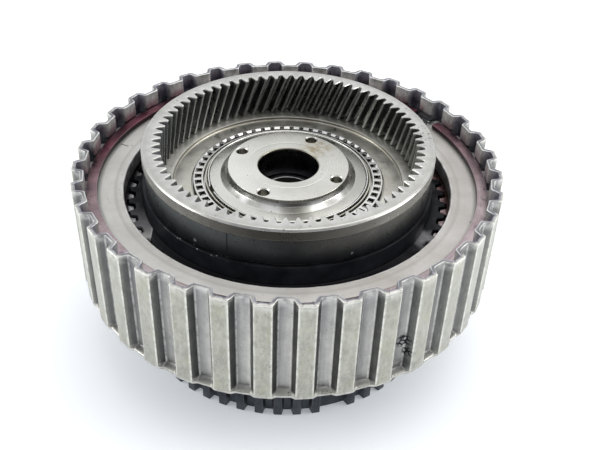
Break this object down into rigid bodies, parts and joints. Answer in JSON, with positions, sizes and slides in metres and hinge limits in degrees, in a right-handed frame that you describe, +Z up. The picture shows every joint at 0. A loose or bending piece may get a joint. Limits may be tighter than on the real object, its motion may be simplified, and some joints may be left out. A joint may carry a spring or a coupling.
{
  "type": "planetary gear set",
  "caption": "Planetary gear set with a corrugated clutch drum, toothed hubs, clutch plates, an internal ring gear, a planet carrier, a sun gear and a thrust bearing.",
  "frame": {"origin": "centre of the lower toothed hub at the surface the set stands on", "axes": "+Z up along the turning axis, +X to the right of the front view, +Y to the back"},
  "size_m": [0.1698, 0.1698, 0.0895],
  "materials": {
    "drum_steel": "satin, worn edges",
    "dark_steel": "dark oiled",
    "ring_steel": "ground rim, oily dark wall",
    "bright_steel": "fine turned",
    "plate_steel": "satin",
    "tempered_steel": "heat tinted mauve",
    "friction_lining": "oiled paper lining on steel",
    "gear_steel": "ground",
    "bearing_steel": "polished",
    "bronze": "satin",
    "aluminium": "as cast and turned",
    "rubber": "matte",
    "spring_steel": "dark"
  },
  "bodies": {
    "drum": {"outer_drum": "drum_steel", "lower_toothed_hub": "dark_steel", "drum_hub": "dark_steel", "drum_hub_bush": "bronze", "sun_lower_washer": "bronze", "rear_ring_gear": "gear_steel", "piston_cylinder": "aluminium", "spring_retainer": "plate_steel", "retainer_snap_ring": "spring_steel", "return_spring": "spring_steel", "backing_plate": "plate_steel", "clutch_snap_ring": "tempered_steel", "steel_plate_1": "plate_steel", "steel_plate_2": "plate_steel"},
    "piston": {"clutch_piston": "aluminium", "piston_outer_seal": "rubber", "piston_inner_seal": "rubber"},
    "carrier": {"front_ring_gear": "ring_steel", "ring_gear_web": "ring_steel", "bearing_race": "bearing_steel", "web_retaining_ring": "bearing_steel", "carrier_hub": "bright_steel", "clutch_hub": "dark_steel", "friction_plate_1": "friction_lining", "friction_plate_2": "friction_lining", "planet_carrier": "gear_steel", "carrier_end_plate": "gear_steel", "sun_upper_washer": "bronze", "planet_pin_1": "gear_steel", "planet_upper_washer_1": "bronze", "planet_lower_washer_1": "bronze", "planet_pin_2": "gear_steel", "planet_upper_washer_2": "bronze", "planet_lower_washer_2": "bronze", "planet_pin_3": "gear_steel", "planet_upper_washer_3": "bronze", "planet_lower_washer_3": "bronze", "planet_pin_4": "gear_steel", "planet_upper_washer_4": "bronze", "planet_lower_washer_4": "bronze"},
    "planet_1": {"planet_gear_1": "gear_steel", "planet_bush_1": "bearing_steel"},
    "planet_2": {"planet_gear_2": "gear_steel", "planet_bush_2": "bearing_steel"},
    "planet_3": {"planet_gear_3": "gear_steel", "planet_bush_3": "bearing_steel"},
    "planet_4": {"planet_gear_4": "gear_steel", "planet_bush_4": "bearing_steel"},
    "sun": {"sun_gear": "gear_steel", "sun_shaft": "gear_steel"},
    "thrust_bearing": {"thrust_bearing": "bearing_steel"}
  },
  "joints": [
    {"name": "carrier_spin", "type": "hinge", "parent": "drum", "child": "carrier", "pos_m": [0, 0, 0.07], "axis": [0, 0, 1], "continuous": true},
    {"name": "planet_1_spin", "type": "hinge", "parent": "carrier", "child": "planet_1", "pos_m": [0.03574, 0.01231, 0.0496], "axis": [0, 0, 1], "continuous": true},
    {"name": "planet_2_spin", "type": "hinge", "parent": "carrier", "child": "planet_2", "pos_m": [-0.01231, 0.03574, 0.0496], "axis": [0, 0, 1], "continuous": true},
    {"name": "planet_3_spin", "type": "hinge", "parent": "carrier", "child": "planet_3", "pos_m": [-0.03574, -0.01231, 0.0496], "axis": [0, 0, 1], "continuous": true},
    {"name": "planet_4_spin", "type": "hinge", "parent": "carrier", "child": "planet_4", "pos_m": [0.01231, -0.03574, 0.0496], "axis": [0, 0, 1], "continuous": true},
    {"name": "sun_spin", "type": "hinge", "parent": "drum", "child": "sun", "pos_m": [0, 0, 0.0496], "axis": [0, 0, 1], "continuous": true},
    {"name": "bearing_spin", "type": "hinge", "parent": "carrier", "child": "thrust_bearing", "pos_m": [0, 0, 0.0719], "axis": [0, 0, 1], "continuous": true},
    {"name": "piston_slide", "type": "slide", "parent": "drum", "child": "piston", "axis": [0, 0, 1], "range_m": [0, 0.0015], "stiffness_N_per_m": 8000, "springref_m": -0.002, "deforming": ["return_spring"]}
  ],
  "couplings": [
    {"joint": "planet_1_spin", "follows": "carrier_spin", "ratio": -4},
    {"joint": "planet_2_spin", "follows": "carrier_spin", "ratio": -4},
    {"joint": "planet_3_spin", "follows": "carrier_spin", "ratio": -4},
    {"joint": "planet_4_spin", "follows": "carrier_spin", "ratio": -4},
    {"joint": "sun_spin", "follows": "carrier_spin", "ratio": 3}
  ]
}
